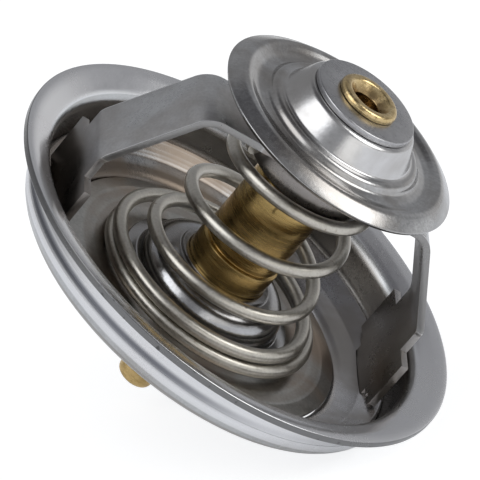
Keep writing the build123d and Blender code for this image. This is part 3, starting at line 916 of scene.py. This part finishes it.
def buildSpringTree(inputs):
    tree = bpy.data.node_groups.new("woundSpring", "GeometryNodeTree")
    face = tree.interface
    face.new_socket(name="Geometry", in_out="INPUT", socket_type="NodeSocketGeometry")
    for label, value in inputs.items():
        kind = "NodeSocketInt" if isinstance(value, int) else "NodeSocketFloat"
        face.new_socket(name=label, in_out="INPUT", socket_type=kind).default_value = value
    face.new_socket(name="Finish", in_out="INPUT", socket_type="NodeSocketMaterial")
    face.new_socket(name="Geometry", in_out="OUTPUT", socket_type="NodeSocketGeometry")
    given = tree.nodes.new("NodeGroupInput").outputs
    out = tree.nodes.new("NodeGroupOutput").inputs

    def calc(operation, *values):
        return mathNode(tree, operation, *values)

    # the share of the wire that is passed, and the turn reached there
    index = tree.nodes.new("GeometryNodeInputIndex").outputs[0]
    share = calc("DIVIDE", index, calc("SUBTRACT", given["Points"], 1.0))
    turn = calc("MULTIPLY", share, given["Turns"])
    # closed turns rise by the closed pitch, and the open ones share the rest of the height
    opening = rangeNode(tree, turn, given["Open From"], given["Fully Open From"])
    closing = rangeNode(tree, turn, given["Closing From"], given["Closed From"])
    running = tree.nodes.new("GeometryNodeAccumulateField")
    tree.links.new(calc("MULTIPLY", opening, calc("SUBTRACT", 1.0, closing)), running.inputs["Value"])
    passed = calc("DIVIDE", running.outputs["Trailing"], running.outputs["Total"])
    closedRise = calc("MULTIPLY", given["Closed Pitch"], given["Turns"])
    openRise = calc("SUBTRACT", calc("SUBTRACT", given["High"], given["Low"]), closedRise)
    rise = calc("ADD", calc("MULTIPLY", closedRise, share), calc("MULTIPLY", openRise, passed))
    level = calc("ADD", given["Low"], rise)
    # the radius steps in to the waist and then narrows evenly
    stepped = [given[label] for label in ("Base Turns", "Waist Turn", "Base Radius", "Waist Radius")]
    stepIn = rangeNode(tree, turn, *stepped)
    narrowed = rangeNode(tree, turn, given["Waist Turn"], given["Taper End"], smooth=False)
    taper = calc("SUBTRACT", given["Top Radius"], given["Waist Radius"])
    radius = calc("ADD", stepIn, calc("MULTIPLY", taper, narrowed))
    angle = calc("ADD", given["First Angle"], calc("MULTIPLY", turn, 2 * math.pi))
    x = calc("MULTIPLY", radius, calc("COSINE", angle))
    y = calc("MULTIPLY", radius, calc("SINE", angle))
    line = addNode(tree, "GeometryNodeMeshLine", {"Count": given["Points"]})
    place = joinPlace(tree, x, y, level)
    wound = addNode(tree, "GeometryNodeSetPosition", {"Geometry": line, "Position": place})
    curve = addNode(tree, "GeometryNodeMeshToCurve", {"Mesh": wound})
    upright = tree.nodes.new("GeometryNodeSetCurveNormal")
    upright.mode = "Z_UP"
    tree.links.new(curve, upright.inputs["Curve"])
    circle = {"Resolution": given["Wire Sides"], "Radius": given["Wire Radius"]}
    section = addNode(tree, "GeometryNodeCurvePrimitiveCircle", circle, "Curve")
    wire = tree.nodes.new("GeometryNodeCurveToMesh")
    tree.links.new(upright.outputs[0], wire.inputs["Curve"])
    tree.links.new(section, wire.inputs["Profile Curve"])
    wire.inputs["Fill Caps"].default_value = True
    real = addNode(tree, "GeometryNodeRealizeInstances", {"Geometry": wire.outputs["Mesh"]})
    finished = addNode(tree, "GeometryNodeSetMaterial", {"Geometry": real, "Material": given["Finish"]})
    tree.links.new(finished, out["Geometry"])
    return tree


springTree = buildSpringTree(mainSpring["inputs"])


def springMesh(values, finish):
    carrier = addObject("winding", bpy.data.meshes.new("winding"))
    winding = carrier.modifiers.new("winding", "NODES")
    winding.node_group = springTree
    sockets = {item.name: item.identifier for item in springTree.interface.items_tree
               if item.item_type == "SOCKET" and item.in_out == "INPUT"}
    for label, value in values.items():
        winding[sockets[label]] = value
    winding[sockets["Finish"]] = finishes[finish]
    return outwardMesh(bakedMesh(carrier))


springLook = {"finish": "springWire", "smoothBelow": 40.0}


def placeSpring(name, spring, body, node):
    mesh = springMesh(spring["inputs"], springLook["finish"])
    piece = placePiece(name, mesh, springLook["finish"], body, node, springLook["smoothBelow"])
    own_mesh(piece)


placeSpring("MainSpring", mainSpring, "frame", "main_spring")

reliefSpring = {
    "inputs": {
        "Base Radius": 0.0043, "Waist Radius": 0.0043, "Top Radius": 0.0043, "Low": 0.01522,
        "High": 0.02618, "Turns": 5.0, "First Angle": 0.0, "Closed Pitch": 0.0008, "Base Turns": 1.0,
        "Waist Turn": 2.0, "Taper End": 5.0, "Open From": 0.4, "Fully Open From": 0.9, "Closing From": 4.1,
        "Closed From": 4.6, "Wire Radius": 0.0004, "Points": 320, "Wire Sides": 16,
    },
    "anchor": 0.0148, "keep": 0.74,
}
placeSpring("ReliefSpring", reliefSpring, "valve", "bypass_spring")
print("springs wound")


# every solid gets a finish too; the inner pieces have no finer form and are shown by theirs

solidFinishes = {
    "piston_pin": "pinSteel", "wax_charge": "waxBlock", "rubber_boot": "bootRubber",
    "backup_washer": "backupPlastic", "piston_guide": "seatBrass", "retaining_ring": "washerSteel",
    "stem_bush": "seatBrass", "spring_seat": "washerSteel", "flange_dish": "dishSteel",
    "seat_ring": "ringSteel", "upper_bridge": "strapSteel", "lower_bridge": "strapSteel",
    "pin_seat": "seatBrass", "valve_plate": "plateSteel", "guide_cap": "capSteel",
    "element_case": "caseBrass", "main_spring": "springWire", "bypass_stem": "rivetBrass",
    "bypass_disc": "polishedSteel", "end_washer": "washerSteel", "bypass_spring": "springWire",
}
for nodeName, finishName in solidFinishes.items():
    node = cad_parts[nodeName]
    if node.material_slots:
        for materialSlot in node.material_slots:
            materialSlot.material = finishes[finishName]
    else:
        node.data.materials.append(finishes[finishName])
print("solids finished")


# floor, light and camera

floorSetup = {
    "normal": (-0.539, 0.309, 0.784), "radius": 0.9, "sides": 96, "below": 0.00005,
    "tone": (0.86, 0.87, 0.89), "toneNoise": (8.0, 2.0, 0.5), "toneRise": 0.03,
    "shownTone": (0.36, 0.35, 0.33), "shownLight": (0.82, 0.83, 0.845), "thrownShare": 0.30,
}


def lowestAlong(direction):
    lowest = math.inf
    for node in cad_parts.values():
        for vertex in node.data.vertices:
            lowest = min(lowest, vertex.co.dot(direction))
    return lowest


def floorMaterial(setup):
    # the camera sees a paler floor than the one that lights the part, and it is clear from below
    material = bpy.data.materials.new("paleFloor")
    material.use_nodes = True
    tree = material.node_tree
    tree.nodes.clear()
    place = tree.nodes.new("ShaderNodeTexCoord").outputs["Object"]
    seen = tree.nodes.new("ShaderNodeLightPath").outputs["Is Camera Ray"]
    back = tree.nodes.new("ShaderNodeNewGeometry").outputs["Backfacing"]
    risen = tuple(min(1.0, value + setup["toneRise"]) for value in setup["tone"])
    pale = mixColours(tree, noiseNode(tree, place, *setup["toneNoise"]), setup["tone"], risen)
    card = addNode(tree, "ShaderNodeBsdfDiffuse", {"Color": mixColours(tree, seen, pale, setup["shownTone"])})
    strength = mathNode(tree, "MAXIMUM", seen, setup["thrownShare"])
    glow = tree.nodes.new("ShaderNodeEmission")
    glow.inputs["Color"].default_value = (*setup["shownLight"], 1.0)
    tree.links.new(strength, glow.inputs["Strength"])
    both = addNode(tree, "ShaderNodeAddShader", {0: card, 1: glow.outputs[0]})
    clear = addNode(tree, "ShaderNodeBsdfTransparent", {})
    shown = addNode(tree, "ShaderNodeMixShader", {0: back, 1: both, 2: clear})
    tree.links.new(shown, tree.nodes.new("ShaderNodeOutputMaterial").inputs["Surface"])
    return material


def makeFloor(setup):
    normal = Vector(setup["normal"]).normalized()
    centre = normal * (lowestAlong(normal) - setup["below"])
    across = normal.orthogonal().normalized()
    along = normal.cross(across)
    rim = []
    for step in range(setup["sides"]):
        turn = 2 * math.pi * step / setup["sides"]
        rim.append(tuple(centre + (across * math.cos(turn) + along * math.sin(turn)) * setup["radius"]))
    mesh = bpy.data.meshes.new("floor")
    mesh.from_pydata(rim, [], [list(range(setup["sides"]))])
    mesh.materials.append(floorMaterial(setup))
    addObject("Floor", mesh)
    return normal


floorUp = makeFloor(floorSetup)

lampSetup = {
    "key": {"place": (0.235, -0.025, 0.603), "size": 0.38, "power": 0.95},
    "side": {"place": (-0.573, -0.153, 0.258), "size": 0.56, "power": 0.9},
}
for lampName, lamp in lampSetup.items():
    light = bpy.data.lights.new(lampName, "AREA")
    light.shape = "DISK"
    light.size = lamp["size"]
    light.energy = lamp["power"]
    holder = addObject(lampName, light)
    holder.location = lamp["place"]
    holder.rotation_euler = (-Vector(lamp["place"])).to_track_quat("-Z", "Y").to_euler()

roomSetup = {
    "low": (0.90, 0.91, 0.92), "wall": (0.325, 0.33, 0.345), "top": (0.355, 0.36, 0.375),
    "wallEdge": (-0.05, 0.22), "topEdge": (0.25, 0.6), "shownTone": (1, 1, 1),
}
windowSetup = {
    "zenith": {"toward": (-0.327, 0.376, 0.835), "edge": (0.86, 0.97), "tone": (0.13, 0.13, 0.14)},
    "left": {"toward": (-0.88, -0.24, 0.40), "edge": (0.82, 0.95), "tone": (1.02, 1.05, 1.10)},
    "right": {"toward": (0.36, -0.04, 0.93), "edge": (0.90, 0.975), "tone": (1.15, 1.15, 1.14)},
    "front": {"toward": (0.33, -0.83, 0.44), "edge": (0.84, 0.94), "tone": (1.20, 1.19, 1.17)},
    "back": {"toward": (0.64, 0.72, 0.27), "edge": (0.93, 0.995), "tone": (0.70, 0.70, 0.71)},
}


def facing(tree, direction, toward):
    return vectorNode(tree, "DOT_PRODUCT", direction, Vector(toward).normalized())["Value"]


def makeWorld(setup, windows, up):
    # a grey room over a pale floor, with a dark zenith and four soft windows; the camera sees it white
    world = bpy.data.worlds.new("studio")
    scene.world = world
    world.use_nodes = True
    tree = world.node_tree
    tree.nodes.clear()
    direction = tree.nodes.new("ShaderNodeTexCoord").outputs["Generated"]
    height = facing(tree, direction, up)
    colour = mixColours(tree, rangeNode(tree, height, *setup["wallEdge"]), setup["low"], setup["wall"])
    colour = mixColours(tree, rangeNode(tree, height, *setup["topEdge"]), colour, setup["top"])
    for window in windows.values():
        share = rangeNode(tree, facing(tree, direction, window["toward"]), *window["edge"])
        colour = mixColours(tree, share, colour, window["tone"])
    room = addNode(tree, "ShaderNodeBackground", {"Color": colour})
    white = tree.nodes.new("ShaderNodeBackground")
    white.inputs["Color"].default_value = (*setup["shownTone"], 1)
    seen = tree.nodes.new("ShaderNodeLightPath").outputs["Is Camera Ray"]
    shown = addNode(tree, "ShaderNodeMixShader", {0: seen, 1: room, 2: white.outputs[0]})
    tree.links.new(shown, tree.nodes.new("ShaderNodeOutputWorld").inputs["Surface"])


makeWorld(roomSetup, windowSetup, floorUp)

cameraSetup = {
    "place": (-0.255473, -0.571692, 0.327933), "turn": (55.5282, -35.1347, -2.4404), "lens": 405.98,
    "sensor": 36.0, "near": 0.01, "far": 20.0,
}
cameraData = bpy.data.cameras.new("view")
cameraData.sensor_width = cameraSetup["sensor"]
cameraData.lens = cameraSetup["lens"]
cameraData.clip_start = cameraSetup["near"]
cameraData.clip_end = cameraSetup["far"]
camera = addObject("view", cameraData)
camera.location = cameraSetup["place"]
camera.rotation_euler = tuple(math.radians(angle) for angle in cameraSetup["turn"])
scene.camera = camera
scene.view_settings.view_transform = "Standard"
print("stage set")
